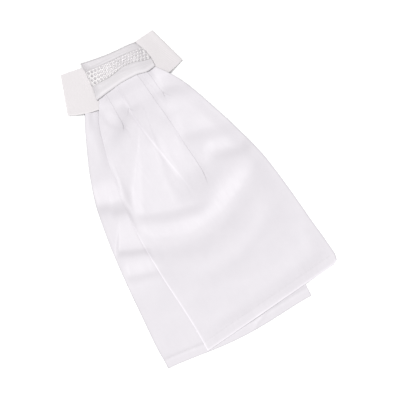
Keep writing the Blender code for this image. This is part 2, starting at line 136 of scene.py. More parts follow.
BACK_CREASES = [
    Crease(-94, 84, -76, 80, -54, 76, 30.0, 32.0, 2.0),
    Crease(-92, 26, -77, 22, -54, 17, 14.0, 9.0, 2.5),
    Crease(-80, 15, -69, 11, -54, 6, 9.0, 6.0, 1.0),
    Crease(-92, -23, -80, -28.5, -54, -38, 17.0, 6.0, 1.9),
    Crease(-96, -51, -82, -55, -56, -62, 10.0, 6.0, 1.1),
    Crease(-102, -66, -84, -71, -56, -76, 12.0, 26.0, 0.7),
    Crease(-6, -158, 2, -152, 14, -147, 1.6, 1.8, 0.4)]

KnotRow = namedtuple("KnotRow", "u x_low y_low x_top y_top wrap")
KNOT_ROWS = [KnotRow(0.00, -42.0, 117.8, -40.2, 158.3, 1.0),
             KnotRow(0.25, -25.5, 120.2, -24.6, 155.7, 1.0),
             KnotRow(0.50, -8.5, 122.4, -9.0, 154.0, 1.0),
             KnotRow(0.70, 4.5, 122.6, 2.8, 153.5, 0.9),
             KnotRow(0.86, 15.8, 120.6, 12.0, 153.2, 0.5),
             KnotRow(1.00, 25.3, 122.0, 18.8, 152.2, 0.0)]
KNOT_BULGE_LEFT, KNOT_BULGE_RIGHT = 1.8, 2.6
KnotPleat = namedtuple("KnotPleat", "w rise")
KNOT_PLEATS = [KnotPleat(0.02, -0.10), KnotPleat(0.05, 0.14), KnotPleat(0.11, -0.16),
               KnotPleat(0.15, -0.22), KnotPleat(0.20, -0.12), KnotPleat(0.27, 0.0),
               KnotPleat(0.74, 0.0), KnotPleat(0.77, 0.7), KnotPleat(0.84, 0.9),
               KnotPleat(0.91, 0.6), KnotPleat(0.96, -0.2)]
KNOT_FACE_Z, KNOT_LEFT_Z, KNOT_RIGHT_Z = 10.9, 7.5, 8.1
KNOT_CREASES = [
    Crease(-38, 148.2, -10, 148.6, 19, 147.0, 0.9, 0.7, -0.30),
    Crease(-24, 132, 2, 130.4, 25, 127.5, 2.0, 1.2, -0.42),
    Crease(-10, 128.8, 8, 127.8, 25, 125.4, 1.5, 1.0, -0.36),
    Crease(-38, 131, -24, 129, -8, 129.2, 1.8, 1.2, -0.22),
    Crease(-2, 134.4, 13, 132.2, 26, 130.6, 1.3, 0.9, -0.36),
    Crease(16, 137.4, 21, 135.0, 26, 133.6, 0.9, 0.9, -0.36),
    Crease(10, 150.6, 16, 149.6, 20, 149.4, 1.0, 0.9, -0.30),
    Crease(-30, 152.6, -8, 151.6, 14, 150.6, 1.6, 1.0, -0.20)]

TrimRow = namedtuple("TrimRow", "u w_low w_high")
TRIM_ROWS = [TrimRow(0.0, 0.36, 0.735), TrimRow(0.3, 0.36, 0.735),
             TrimRow(0.6, 0.44, 0.735), TrimRow(0.8, 0.40, 0.735),
             TrimRow(1.0, 0.30, 0.735)]
STONE_PITCH = 3.5


# ------------------------------------------------------------------ numbers
def ease(t):
    t = np.clip(t, 0.0, 1.0)
    return t * t * (3.0 - 2.0 * t)


def at(rows, key, column, value):
    """Smooth values of a column between the table's rows."""
    rows = sorted(rows, key=lambda r: getattr(r, key))
    xs = np.array([getattr(r, key) for r in rows], float)
    ys = np.array([getattr(r, column) for r in rows], float)
    value = np.clip(np.asarray(value, float), xs[0], xs[-1])
    h = np.diff(xs)
    d = np.diff(ys) / h
    m = np.empty(len(xs))
    m[0], m[-1] = d[0], d[-1]
    prod = d[:-1] * d[1:]
    total = d[:-1] + d[1:]
    m[1:-1] = np.where(prod > 0, 2 * prod / np.where(prod > 0, total, 1.0), 0.0)
    i = np.clip(np.searchsorted(xs, value, side="right") - 1, 0, len(xs) - 2)
    t = (value - xs[i]) / h[i]
    return ((1 + 2 * t) * (1 - t) ** 2 * ys[i] + t * (1 - t) ** 2 * h[i] * m[i]
            + t * t * (3 - 2 * t) * ys[i + 1] + t * t * (t - 1) * h[i] * m[i + 1])


def creases_height(creases, x, y, wide=1.0):
    """Height of all creases.  With wide over 1 it is the smooth cover that
    bridges them."""
    total = np.zeros(np.shape(x))
    ts = np.linspace(0, 1, 97)
    for f in creases:
        if wide > 1:
            if f.height < 0:
                continue
            f = f._replace(up=f.up * wide, down=f.down * wide)
        cx, cy = 2 * f.x1 - (f.x0 + f.x2) / 2, 2 * f.y1 - (f.y0 + f.y2) / 2
        bx = (1 - ts) ** 2 * f.x0 + 2 * ts * (1 - ts) * cx + ts ** 2 * f.x2
        by = (1 - ts) ** 2 * f.y0 + 2 * ts * (1 - ts) * cy + ts ** 2 * f.y2
        tx = 2 * (1 - ts) * (cx - f.x0) + 2 * ts * (f.x2 - cx)
        ty = 2 * (1 - ts) * (cy - f.y0) + 2 * ts * (f.y2 - cy)
        length = np.hypot(tx, ty)
        reach = 3.2 * max(f.up, f.down)
        near = ((x > bx.min() - reach) & (x < bx.max() + reach)
                & (y > by.min() - reach) & (y < by.max() + reach))
        if not near.any():
            continue
        px, py = x[near], y[near]
        best = np.full(px.shape, 1e18)
        k = np.zeros(px.shape, int)
        for n in range(len(ts)):
            dist = (px - bx[n]) ** 2 + (py - by[n]) ** 2
            closer = dist < best
            best[closer] = dist[closer]
            k[closer] = n
        ox, oy = px - bx[k], py - by[k]
        ux, uy = tx[k] / length[k], ty[k] / length[k]
        along = ox * ux + oy * uy
        side = ux * oy - uy * ox          # positive on the crease's left
        t = ts[k] + along / length[k]
        beyond = np.maximum(0.0, np.maximum(-t, t - 1.0)) * length[k]
        up_is_left = (f.x2 - f.x0) > 0
        upward = side if up_is_left else -side
        width = np.where(upward > 0, f.up, f.down)
        end = 1.0 - ease((np.abs(t - 0.5) - 0.28) / 0.30)
        total[near] += (f.height * end
                        * np.exp(-(side / width) ** 2 - (beyond / width) ** 2))
    return total


def soft_noise(x, y, size, seed):
    """Smooth, seeded unevenness of about unit height; size is in mm."""
    rng = np.random.default_rng(seed)
    grid = rng.uniform(-1, 1, (96, 96))
    u, v = np.asarray(x) / size + 41.3, np.asarray(y) / size + 47.7
    i, j = np.floor(u).astype(int), np.floor(v).astype(int)
    a, b = u - i, v - j
    a = a * a * a * (a * (6 * a - 15) + 10)
    b = b * b * b * (b * (6 * b - 15) + 10)
    i, j = i % 95, j % 95
    return ((grid[i, j] * (1 - a) + grid[i + 1, j] * a) * (1 - b)
            + (grid[i, j + 1] * (1 - a) + grid[i + 1, j + 1] * a) * b)


def rounded(distance, radius):
    """Share of the full thickness at a distance in from a rounded edge."""
    t = np.clip(distance / radius, 0.0, 1.0)
    return np.maximum(0.14, np.sqrt(np.clip(1 - (1 - t) ** 2, 0, 1)))


# ------------------------------------------------------------------ meshes
def add_mesh(name, verts, faces, material, smooth=True, uv=None, painted_light_shade=None):
    mesh = bpy.data.meshes.new(name)
    mesh.from_pydata((np.asarray(verts) * MM).tolist(), [],
                     faces.tolist() if isinstance(faces, np.ndarray) else faces)
    if uv is not None:
        layer = mesh.uv_layers.new(name="cloth")
        index = np.empty(len(mesh.loops), np.int32)
        mesh.loops.foreach_get("vertex_index", index)
        layer.data.foreach_set("uv", np.asarray(uv, np.float32)[index].ravel())
    # painted highlights and painted shade, kept on the points and multiplied into the base colour
    if painted_light_shade is not None:
        mesh.attributes.new("painted_light_shade", "FLOAT", "POINT").data.foreach_set(
            "value", np.asarray(painted_light_shade, np.float32).ravel())
    mesh.materials.append(material)
    mesh.validate()
    mesh.update()
    if smooth:
        mesh.shade_smooth()
    obj = bpy.data.objects.new(name, mesh)
    bpy.context.scene.collection.objects.link(obj)
    return obj


def grid_faces(rows, cols):
    i = np.arange((rows - 1) * cols).reshape(rows - 1, cols)[:, :-1].ravel()
    return np.stack([i, i + 1, i + cols + 1, i + cols], 1)


def shell(name, top, low, material, uv=None, painted_light_shade=None):
    """A closed wall between two equal grids of points (rows, cols, 3)."""
    rows, cols = top.shape[:2]
    n = rows * cols
    quads = grid_faces(rows, cols)
    border = np.concatenate([
        np.arange(cols), np.arange(1, rows) * cols + cols - 1,
        (rows - 1) * cols + np.arange(cols - 2, -1, -1),
        np.arange(rows - 2, 0, -1) * cols])
    nxt = np.roll(border, -1)
    rim = np.stack([border, nxt, nxt + n, border + n], 1)
    # outward faces: find the turn of the first grid
    a = top[:-1, :-1]
    z = np.cross(top[:-1, 1:] - a, top[1:, :-1] - a)[..., 2].sum()
    if z > 0:
        faces = np.concatenate([quads, quads[:, ::-1] + n, rim[:, ::-1]])
    else:
        faces = np.concatenate([quads[:, ::-1], quads + n, rim])
    verts = np.concatenate([top.reshape(-1, 3), low.reshape(-1, 3)])
    if uv is not None:
        uv = np.concatenate([uv.reshape(-1, 2), uv.reshape(-1, 2)])
    if painted_light_shade is not None:
        painted_light_shade = np.concatenate([painted_light_shade.ravel(), painted_light_shade.ravel()])
    return add_mesh(name, verts, faces, material, uv=uv, painted_light_shade=painted_light_shade)


def shell_from_middle(name, middle, thick, material, uv=None):
    """A closed wall round a middle surface (rows, cols, 3)."""
    du = np.gradient(middle, axis=1)
    dv = np.gradient(middle, axis=0)
    nrm = np.cross(du, dv)
    if nrm[..., 2].sum() < 0:
        nrm = -nrm
    nrm /= np.maximum(np.linalg.norm(nrm, axis=-1, keepdims=True), 1e-9)
    half = (thick / 2)[..., None]
    return shell(name, middle + nrm * half, middle - nrm * half, material, uv)


# ------------------------------------------------------------------ materials
def tree_of(name):
    mat = bpy.data.materials.new(name)
    mat.use_nodes = True
    nodes, links = mat.node_tree.nodes, mat.node_tree.links
    return mat, nodes, links, nodes["Principled BSDF"]


def cloth_material(name, colour, colour_b, roughness, sheen, sheen_roughness,
                   weave, weave_depth, slub_depth, specular, anisotropic=0.0,
                   diagonal=False):
    """Woven cloth: its threads, slubs and faint unevenness come from the
    cloth's own coordinates, in millimetres."""
    mat, nodes, links, bsdf = tree_of(name)
    uv = nodes.new("ShaderNodeUVMap")
    uv.uv_map = "cloth"
    scale = nodes.new("ShaderNodeMapping")
    scale.inputs["Rotation"].default_value = (0, 0, math.radians(78 if diagonal else 0))
    links.new(uv.outputs["UV"], scale.inputs["Vector"])
    heights = []
    for axis, period, depth in (("X", weave, 1.0), ("Y", weave * 1.35, 0.7)):
        wave = nodes.new("ShaderNodeTexWave")
        wave.wave_type, wave.bands_direction = "BANDS", axis
        wave.inputs["Scale"].default_value = 2 * math.pi / (20 * period)
        wave.inputs["Distortion"].default_value = 0.6
        wave.inputs["Detail"].default_value = 1.0
        wave.inputs["Detail Scale"].default_value = 0.6
        links.new(scale.outputs["Vector"], wave.inputs["Vector"])
        level = nodes.new("ShaderNodeMath")
        level.operation = "MULTIPLY"
        level.inputs[1].default_value = depth
        links.new(wave.outputs["Fac"], level.inputs[0])
        heights.append(level)
    add = nodes.new("ShaderNodeMath")
    links.new(heights[0].outputs[0], add.inputs[0])
    links.new(heights[1].outputs[0], add.inputs[1])
    weave_bump = nodes.new("ShaderNodeBump")
    weave_bump.inputs["Strength"].default_value = 0.5
    weave_bump.inputs["Distance"].default_value = weave_depth * MM
    links.new(add.outputs[0], weave_bump.inputs["Height"])

    stretch = nodes.new("ShaderNodeMapping")
    stretch.inputs["Scale"].default_value = (0.55, 0.05, 1.0)
    links.new(uv.outputs["UV"], stretch.inputs["Vector"])
    slub = nodes.new("ShaderNodeTexNoise")
    slub.inputs["Scale"].default_value = 1.0
    slub.inputs["Detail"].default_value = 3.0
    slub.inputs["Roughness"].default_value = 0.55
    links.new(stretch.outputs["Vector"], slub.inputs["Vector"])
    slub_bump = nodes.new("ShaderNodeBump")
    slub_bump.inputs["Strength"].default_value = 0.35
    slub_bump.inputs["Distance"].default_value = slub_depth * MM
    links.new(slub.outputs["Fac"], slub_bump.inputs["Height"])
    links.new(weave_bump.outputs["Normal"], slub_bump.inputs["Normal"])
    links.new(slub_bump.outputs["Normal"], bsdf.inputs["Normal"])

    # faint mottling of the colour, and of the gloss with it
    mottle = nodes.new("ShaderNodeTexNoise")
    mottle.inputs["Scale"].default_value = 0.045
    mottle.inputs["Detail"].default_value = 4.0
    mottle.inputs["Roughness"].default_value = 0.6
    links.new(uv.outputs["UV"], mottle.inputs["Vector"])
    mixer = nodes.new("ShaderNodeMix")
    mixer.data_type = "RGBA"
    mixer.inputs["A"].default_value = (*colour, 1)
    mixer.inputs["B"].default_value = (*colour_b, 1)
    spread = nodes.new("ShaderNodeMapRange")
    spread.inputs["From Min"].default_value = 0.35
    spread.inputs["From Max"].default_value = 0.65
    links.new(mottle.outputs["Fac"], spread.inputs["Value"])
    links.new(spread.outputs["Result"], mixer.inputs["Factor"])
    # the base colour is made lighter or darker along edges and folds only, by a point attribute: painted
    # highlights and painted shade lines
    edge = nodes.new("ShaderNodeAttribute")
    edge.attribute_name = "painted_light_shade"
    gain = nodes.new("ShaderNodeMath")
    gain.operation = "MULTIPLY_ADD"
    gain.inputs[1].default_value = 0.34
    gain.inputs[2].default_value = 1.0
    links.new(edge.outputs["Fac"], gain.inputs[0])
    tinted = nodes.new("ShaderNodeVectorMath")
    tinted.operation = "SCALE"
    links.new(mixer.outputs["Result"], tinted.inputs[0])
    links.new(gain.outputs[0], tinted.inputs["Scale"])
    links.new(tinted.outputs["Vector"], bsdf.inputs["Base Color"])
    gloss = nodes.new("ShaderNodeMapRange")
    gloss.inputs["From Min"].default_value = 0.3
    gloss.inputs["From Max"].default_value = 0.7
    gloss.inputs["To Min"].default_value = roughness - 0.04
    gloss.inputs["To Max"].default_value = roughness + 0.05
    links.new(slub.outputs["Fac"], gloss.inputs["Value"])
    links.new(gloss.outputs["Result"], bsdf.inputs["Roughness"])

    bsdf.inputs["Sheen Weight"].default_value = sheen
    bsdf.inputs["Sheen Roughness"].default_value = sheen_roughness
    bsdf.inputs["Specular IOR Level"].default_value = specular
    bsdf.inputs["Anisotropic"].default_value = anisotropic
    if anisotropic:
        tangent = nodes.new("ShaderNodeTangent")
        tangent.direction_type = "UV_MAP"
        tangent.uv_map = "cloth"
        links.new(tangent.outputs["Tangent"], bsdf.inputs["Tangent"])
    return mat


SATIN_A, SATIN_B = (0.606, 0.580, 0.612), (0.592, 0.567, 0.600)
satin = cloth_material("satin", SATIN_A, SATIN_B, 0.54, 0.12, 0.35, 0.34, 0.020,
                       0.10, 0.85, anisotropic=0.45)
satin_back = cloth_material("satin_back", SATIN_A, SATIN_B, 0.54, 0.12, 0.35, 0.34,
                            0.020, 0.10, 0.85, anisotropic=0.45)
satin_knot = cloth_material("satin_knot", (0.560, 0.538, 0.558), (0.538, 0.517, 0.532),
                            0.54, 0.12, 0.35, 0.34, 0.022, 0.12, 0.5,
                            anisotropic=0.35)
cotton = cloth_material("cotton", (0.632, 0.604, 0.614), (0.618, 0.591, 0.600),
                        0.80, 0.25, 0.5, 1.25, 0.110, 0.06, 0.25, diagonal=True)


def thread_material():
    mat, nodes, links, bsdf = tree_of("thread")
    coords = nodes.new("ShaderNodeTexCoord")
    twist = nodes.new("ShaderNodeTexNoise")
    twist.inputs["Scale"].default_value = 1400.0
    links.new(coords.outputs["Object"], twist.inputs["Vector"])
    bump = nodes.new("ShaderNodeBump")
    bump.inputs["Strength"].default_value = 0.4
    bump.inputs["Distance"].default_value = 0.00008
    links.new(twist.outputs["Fac"], bump.inputs["Height"])
    links.new(bump.outputs["Normal"], bsdf.inputs["Normal"])
    ramp = nodes.new("ShaderNodeMapRange")
    ramp.inputs["To Min"].default_value = 0.42
    ramp.inputs["To Max"].default_value = 0.58
    links.new(twist.outputs["Fac"], ramp.inputs["Value"])
    links.new(ramp.outputs["Result"], bsdf.inputs["Roughness"])
    bsdf.inputs["Base Color"].default_value = (0.59, 0.57, 0.59, 1)
    bsdf.inputs["Sheen Weight"].default_value = 0.2
    return mat


def stone_material():
    mat, nodes, links, bsdf = tree_of("cut_glass")
    coords = nodes.new("ShaderNodeTexCoord")
    fire = nodes.new("ShaderNodeTexNoise")
    fire.inputs["Scale"].default_value = 420.0
    fire.inputs["Detail"].default_value = 1.0
    links.new(coords.outputs["Object"], fire.inputs["Vector"])
    ramp = nodes.new("ShaderNodeValToRGB")
    ramp.color_ramp.elements[0].position = 0.32
    ramp.color_ramp.elements[0].color = (0.64, 0.61, 0.63, 1)
    ramp.color_ramp.elements[1].position = 0.62
    ramp.color_ramp.elements[1].color = (0.73, 0.70, 0.72, 1)
    links.new(fire.outputs["Fac"], ramp.inputs["Fac"])
    # painted reflection: the hearts of the stones towards the strip's two ends are painted dark, standing
    # in for dark reflections
    split = nodes.new("ShaderNodeSeparateXYZ")
    links.new(coords.outputs["Object"], split.inputs["Vector"])
    ends = nodes.new("ShaderNodeValToRGB")
    ends.color_ramp.elements[0].position = 0.0
    ends.color_ramp.elements[0].color = (0.85, 0.85, 0.85, 1)
    ends.color_ramp.elements[1].position = 1.0
    ends.color_ramp.elements[1].color = (0.66, 0.66, 0.66, 1)
    for place, level in ((0.12, 0.62), (0.22, 0.22), (0.34, 0.02), (0.74, 0.04), (0.86, 0.42)):
        stop = ends.color_ramp.elements.new(place)
        stop.color = (level, level, level, 1)
    across = nodes.new("ShaderNodeMapRange")
    across.inputs["From Min"].default_value = -0.041
    across.inputs["From Max"].default_value = 0.026
    links.new(split.outputs["X"], across.inputs["Value"])
    links.new(across.outputs["Result"], ends.inputs["Fac"])
    heart = nodes.new("ShaderNodeAttribute")
    heart.attribute_name = "painted_light_shade"
    share = nodes.new("ShaderNodeMath")
    share.operation = "MULTIPLY"
    links.new(heart.outputs["Fac"], share.inputs[0])
    links.new(ends.outputs["Color"], share.inputs[1])
    tone = nodes.new("ShaderNodeMix")
    tone.data_type = "RGBA"
    links.new(share.outputs[0], tone.inputs["Factor"])
    links.new(ramp.outputs["Color"], tone.inputs["A"])
    tone.inputs["B"].default_value = (0.29, 0.28, 0.29, 1)
    links.new(tone.outputs["Result"], bsdf.inputs["Base Color"])
    rough = nodes.new("ShaderNodeMapRange")
    rough.inputs["To Min"].default_value = 0.12
    rough.inputs["To Max"].default_value = 0.26
    links.new(fire.outputs["Fac"], rough.inputs["Value"])
    links.new(rough.outputs["Result"], bsdf.inputs["Roughness"])
    bsdf.inputs["Metallic"].default_value = 0.05
    bsdf.inputs["Specular IOR Level"].default_value = 0.55
    bsdf.inputs["Coat Weight"].default_value = 0.12
    bsdf.inputs["Coat Roughness"].default_value = 0.12
    return mat


def metal_material():
    mat, nodes, links, bsdf = tree_of("silver_cups")
    coords = nodes.new("ShaderNodeTexCoord")
    wear = nodes.new("ShaderNodeTexNoise")
    wear.inputs["Scale"].default_value = 260.0
    wear.inputs["Detail"].default_value = 3.0
    links.new(coords.outputs["Object"], wear.inputs["Vector"])
    ramp = nodes.new("ShaderNodeValToRGB")
    ramp.color_ramp.elements[0].position = 0.3
    ramp.color_ramp.elements[0].color = (0.62, 0.60, 0.615, 1)
    ramp.color_ramp.elements[1].position = 0.7
    ramp.color_ramp.elements[1].color = (0.70, 0.68, 0.695, 1)
    links.new(wear.outputs["Fac"], ramp.inputs["Fac"])
    links.new(ramp.outputs["Color"], bsdf.inputs["Base Color"])
    rough = nodes.new("ShaderNodeMapRange")
    rough.inputs["To Min"].default_value = 0.30
    rough.inputs["To Max"].default_value = 0.46
    links.new(wear.outputs["Fac"], rough.inputs["Value"])
    links.new(rough.outputs["Result"], bsdf.inputs["Roughness"])
    bsdf.inputs["Metallic"].default_value = 0.05
    return mat


thread = thread_material()
cut_glass = stone_material()
silver = metal_material()


# ------------------------------------------------------------------ neckband
def band_frame(along):
    k = along / BAND_HALF
    y = BAND_Y + BAND_RISE * k * k + BAND_TILT * (along + BAND_HALF)
    slope = 2 * BAND_RISE * k / BAND_HALF + BAND_TILT
    length = np.hypot(slope, 1.0)
    half = at(BAND_ROWS, "k", "height", np.abs(k)) / 2
    nx = -slope / length - np.where(k > 0, BAND_SPLAY * np.abs(k) ** 5 / half, 0.0)
    return BAND_X + along, y, nx, 1.0 / length, half


def band_edge_y(x, side):
    along = np.clip(x - BAND_X, -BAND_HALF, BAND_HALF)
    for _ in range(8):
        cx, cy, nx, ny, half = band_frame(along)
        along = np.clip(along + x - (cx + nx * half * side), -BAND_HALF, BAND_HALF)
    cx, cy, nx, ny, half = band_frame(along)
    return cy + ny * half * side


def resample(points, step, keep_ends=True):
    """A path of (along, z), rounded by a smooth curve and evenly spaced."""
    p = np.array(points, float)
    out = []
    for i in range(len(p) - 1):
        p0, p1 = p[max(0, i - 1)], p[i]
        p2, p3 = p[i + 1], p[min(len(p) - 1, i + 2)]
        d = np.linalg.norm(p2 - p1)
        n = max(2, int(math.ceil(d / step)) + 1)
        d01 = max(np.linalg.norm(p1 - p0), 1e-6) ** 0.5
        d12 = max(d, 1e-6) ** 0.5
        d23 = max(np.linalg.norm(p3 - p2), 1e-6) ** 0.5
        for t in np.linspace(0, 1, n, endpoint=False):
            if i == 0 or i == len(p) - 2:
                out.append(p1 + (p2 - p1) * t)
                continue
            t0, t1, t2, t3 = 0, d01, d01 + d12, d01 + d12 + d23
            s = t1 + t * (t2 - t1)
            a1 = (t1 - s) / (t1 - t0) * p0 + (s - t0) / (t1 - t0) * p1
            a2 = (t2 - s) / (t2 - t1) * p1 + (s - t1) / (t2 - t1) * p2
            a3 = (t3 - s) / (t3 - t2) * p2 + (s - t2) / (t3 - t2) * p3
            b1 = (t2 - s) / (t2 - t0) * a1 + (s - t0) / (t2 - t0) * a2
            b2 = (t3 - s) / (t3 - t1) * a2 + (s - t1) / (t3 - t1) * a3
            out.append((t2 - s) / (t2 - t1) * b1 + (s - t1) / (t2 - t1) * b2)
    out.append(p[-1])
    return np.array(out)


def make_neckband():
    turn = BAND_HALF - BAND_WALL / 2 - BAND_FOLD_R
    low = BAND_WALL / 2 + 0.02
    second = low + BAND_WALL + 0.16
    path = [(BAND_UNDER_END, second), (20.0, second), (-16.0, second),
            (-BAND_UNDER_END, second), (-BAND_UNDER_END - 3.5, 0.9),
            (-turn + 1.0, low)]
    for n in range(1, 7):
        a = math.radians(-90 - 30 * n)
        path.append((-turn + BAND_FOLD_R * math.cos(a),
                     low + BAND_FOLD_R * (1 + math.sin(a))))
    path += [(p.along, p.z) for p in BAND_FRONT]
    for n in range(6):
        a = math.radians(90 - 30 * n)
        path.append((turn + BAND_FOLD_R * math.cos(a),
                     low + BAND_FOLD_R * (1 + math.sin(a))))
    path += [(turn - 0.8, low), (45.0, low), (12.0, low), (-20.0, low),
             (-BAND_UNDER_END + 1.0, low)]
    path = resample(path, 1.5)
    seg = np.gradient(path, axis=0)
    seg /= np.maximum(np.linalg.norm(seg, axis=1, keepdims=True), 1e-9)
    normal = np.stack([-seg[:, 1], seg[:, 0]], 1)
    run = np.concatenate([[0], np.cumsum(np.linalg.norm(np.diff(path, axis=0), axis=1))])
    v = np.concatenate([[-1, -0.994, -0.982, -0.962], np.linspace(-0.93, 0.93, 27),
                        [0.962, 0.982, 0.994, 1]])
    along, side = np.meshgrid(path[:, 0], v, indexing="ij")
    z = np.repeat(path[:, 1:2], len(v), 1)
    nx = np.repeat(normal[:, 0:1], len(v), 1)
    nz = np.repeat(normal[:, 1:2], len(v), 1)
    half = at(BAND_ROWS, "k", "height", np.abs(along) / BAND_HALF) / 2
    edge = rounded((1 - np.abs(side)) * half, 0.5) * rounded(
        np.minimum(run, run[-1] - run), 0.7)[:, None]
    front = (run > run[-1] * 0.30) & (run < run[-1] * 0.72)
    puff = 0.25 * (1 - side ** 4) * front[:, None]
    cx, cy, ex, ey, hh = band_frame(along)
    ripple = 0.10 * soft_noise(cx, cy + side * 20, 17, 5) * front[:, None]
    tilt = 1.1 * (1 + side) * ease((along - 24.0) / 16.0) * front[:, None]
    grids = []
    for sign in (1, -1):
        off = sign * edge * BAND_WALL / 2
        a2 = along + nx * off
        cx, cy, ex, ey, hh = band_frame(np.clip(a2, -BAND_HALF, BAND_HALF))
        extra = a2 - np.clip(a2, -BAND_HALF, BAND_HALF)
        grids.append(np.stack([cx + extra + ex * hh * side, cy + ey * hh * side,
                               z + nz * off + puff + ripple + tilt], -1))
    uv = np.stack([np.repeat(run[:, None], len(v), 1), side * 22.0], -1)
    # painted light and shade: the left wing's lower edge is painted lighter, the right wing's fold ends
    # painted darker and the left wing's fold ends a little lighter, on the front layer only
    low_edge = np.exp(-((1 + side) * half / 0.9) ** 2)
    fold_end = np.exp(-((BAND_HALF - np.abs(along)) / 1.3) ** 2)
    painted_light_shade = (0.5 * low_edge * (along < 0) - np.where(along > 0, 0.25, -0.1) * fold_end) * front[:, None]
    return shell("neckband_cloth", grids[0], grids[1], cotton, uv, painted_light_shade)


# ------------------------------------------------------------------ tails
def front_xy(p, q):
    c, s = math.cos(FRONT_ANGLE), math.sin(FRONT_ANGLE)
    return FRONT_X + p * c + q * s, FRONT_Y + p * s - q * c


def front_pq(x, y):
    c, s = math.cos(FRONT_ANGLE), math.sin(FRONT_ANGLE)
    dx, dy = x - FRONT_X, y - FRONT_Y
    return dx * c + dy * s, dx * s - dy * c


def below_band(x, y):
    return band_edge_y(x, -1.0) - y


def back_hem_y(x):
    t = (x + 19.0) / 81.0
    return BACK_HEM_Y - BACK_HEM_BOW * np.maximum(0.0, 1 - t * t) ** 2


def over_band(x, y, start, run):
    """1 over the neckband, falling to 0 below its lower edge."""
    t = np.clip((below_band(x, y) + start) / run, 0.0, 1.0)
    return (1 - t) ** 2 * (1 + 0.9 * t)


def back_lift(x, y, wide=1.0):
    """How far the back tail stands off the floor, or off the band's returns."""
    p, q = front_pq(x, y)
    shown = ease((at(FRONT_ROWS, "q", "left", q) + 24.0 - p) / 26.0)
    shown = np.maximum(shown, ease((-126.0 - y) / 14.0))
    fold = creases_height(BACK_CREASES, x, y, wide)
    flat = 0.30 * ease((y + 156) / 30) + 0.12 * (1 + soft_noise(x, y, 17, 3))
    lift = (flat + 1.3 * fold) * shown
    return np.log1p(np.exp(lift * 4.0)) / 4.0 - 0.10


def back_rise(x, y):
    return 2.7 * over_band(x, y, 6.0, 30.0)


def make_back_tail():
    ys = np.concatenate([np.linspace(128, 90, 34), np.linspace(88.6, -140, 164)])
    y_hem = np.array([HEM + 1.0, HEM + 0.5, HEM, HEM - 0.5, HEM - 1.0, 8.4, 7, 5.6, 4.2,
                      2.8, 1.6, 0.9, 0.45, 0.18, 0.0])
    fr = np.concatenate([[0, 0.001, 0.003, 0.006, 0.010, 0.015],
                         np.linspace(0.022, 0.24, 26), np.linspace(0.256, 0.985, 50),
                         [0.990, 0.994, 0.997, 0.999, 1.0]])
    x = np.zeros((len(ys) + len(y_hem), len(fr)))
    y = np.zeros_like(x)
    for i, yy in enumerate(ys):
        a, b = at(BACK_ROWS, "y", "left", yy), at(BACK_ROWS, "y", "right", yy)
        x[i], y[i] = a + (b - a) * fr, yy
    for j, h in enumerate(y_hem):
        i = len(ys) + j
        a, b = at(BACK_ROWS, "y", "left", -147.0), at(BACK_ROWS, "y", "right", -147.0)
        x[i] = a + (b - a) * fr
        y[i] = back_hem_y(x[i]) + h
    # rows ease into the bow of the hem over the last stretch
    bow = back_hem_y(x) - BACK_HEM_Y
    n = len(ys)
    y[:n] += bow[:n] * ease((-110.0 - y[:n]) / 32.0)
    left = at(BACK_ROWS, "y", "left", y)
    right = at(BACK_ROWS, "y", "right", y)
    hem_d = y - back_hem_y(x)
    wall = np.full(x.shape, CLOTH)
    turned = ease((HEM - hem_d) / 0.9)
    wall += 0.12 * turned
    side = np.minimum(x - left, right - x)
    wall += 0.10 * ease((2.0 - side) / 0.6)
    stitch = -0.34 * np.exp(-((hem_d - (HEM - 1.4)) / 1.5) ** 2)
    pucker = 0.07 * np.sin(x * 0.83 + 1.2 * np.sin(x * 0.11)) * np.exp(-((hem_d - HEM + 1) / 3.0) ** 2)
    shape = (rounded(side, 0.45) * rounded(np.maximum(hem_d, 0), 0.5)
             * rounded(np.maximum(0, 128 - y), 0.4))
    lift = back_lift(x, y)
    rise = back_rise(x, y)
    # gathers where the tail goes in under the knot
    gather = 0.55 * (1 + np.sin((x - left) / (right - left) * 2 * math.pi * 7.5)) * ease((y - 84) / 26)
    gather *= rounded(side, 6.0)
    base = rise + lift + gather * 0.5
    low = np.stack([x, y, base + (1 - shape) * wall / 2 + 0.02], -1)
    top = np.stack([x, y, base + wall - (1 - shape) * wall / 2 + 0.02
                    + (stitch + pucker) * shape], -1)
    across = (x - left) / (right - left)
    uv = np.stack([across * 160.0, -y], -1)
    # painted shade: a dark line along the left edge and another along the hem's stitch line
    painted_light_shade = (-0.5 * np.exp(-(np.maximum(x - left, 0) / 0.8) ** 2)
               - 0.2 * np.exp(-((hem_d - (HEM - 1.6)) / 1.3) ** 2))
    return shell("back_tail_cloth", top, low, satin_back, uv, painted_light_shade), top


def beside_back(q):
    p = np.full(np.shape(q), 45.0)
    for _ in range(6):
        x, y = front_xy(p, q)
        p = p + at(BACK_ROWS, "y", "right", y) + 1.0 - x
    return p


